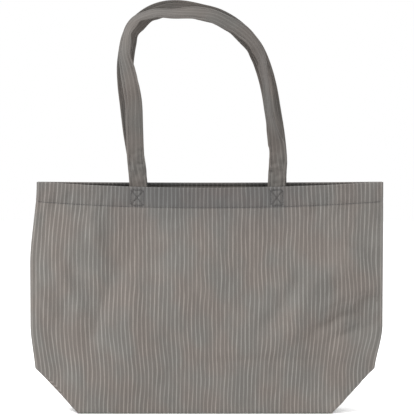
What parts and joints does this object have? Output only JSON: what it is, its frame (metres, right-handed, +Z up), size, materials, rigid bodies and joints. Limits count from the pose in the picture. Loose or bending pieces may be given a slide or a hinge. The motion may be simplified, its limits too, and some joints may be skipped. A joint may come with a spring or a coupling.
{
  "type": "tote bag",
  "caption": "Soft striped cotton tote bag with long shoulder straps, a turned hem at its open mouth and a boxed bottom that is folded up inside",
  "frame": {"origin": "middle of the bag's footprint, on the ground under its bottom folds", "axes": "+Z up towards the mouth and the handles, -Y out of the front panel, +X to the right as seen from the front"},
  "size_m": [0.508, 0.058, 0.5918],
  "materials": {
    "striped_cloth": "matte",
    "strap_cloth": "matte",
    "seam_edge": "matte",
    "thread": "matte"
  },
  "bodies": {
    "front_body": {"front_panel": "striped_cloth", "bottom_panel": "striped_cloth", "left_corner_fold": "striped_cloth", "right_corner_fold": "striped_cloth", "front_hem": "striped_cloth", "front_handle_ends": "strap_cloth", "left_side_seam": "seam_edge", "right_side_seam": "seam_edge", "left_corner_seam": "seam_edge", "right_corner_seam": "seam_edge", "left_side_stitching": "thread", "right_side_stitching": "thread", "front_hem_stitching": "thread", "front_left_cross": "thread", "front_right_cross": "thread"},
    "back_body": {"back_panel": "striped_cloth", "back_hem": "striped_cloth", "back_hem_stitching": "thread", "back_handle_ends": "strap_cloth", "back_left_cross": "thread", "back_right_cross": "thread"},
    "front_handle": {"front_handle": "strap_cloth", "front_handle_stitching": "thread"},
    "back_handle": {"back_handle": "strap_cloth", "back_handle_stitching": "thread"}
  },
  "joints": [
    {"name": "mouth_open", "type": "hinge", "parent": "front_body", "child": "back_body", "pos_m": [0, 0.0282, 0], "axis": [-1, 0, 0], "range_deg": [0, 10]},
    {"name": "front_handle_fold", "type": "hinge", "parent": "front_body", "child": "front_handle", "pos_m": [0, -0.0137, 0.324], "axis": [1, 0, 0], "range_deg": [0, 170]},
    {"name": "back_handle_fold", "type": "hinge", "parent": "back_body", "child": "back_handle", "pos_m": [0, 0.0136, 0.3299], "axis": [-1, 0, 0], "range_deg": [0, 170]}
  ]
}
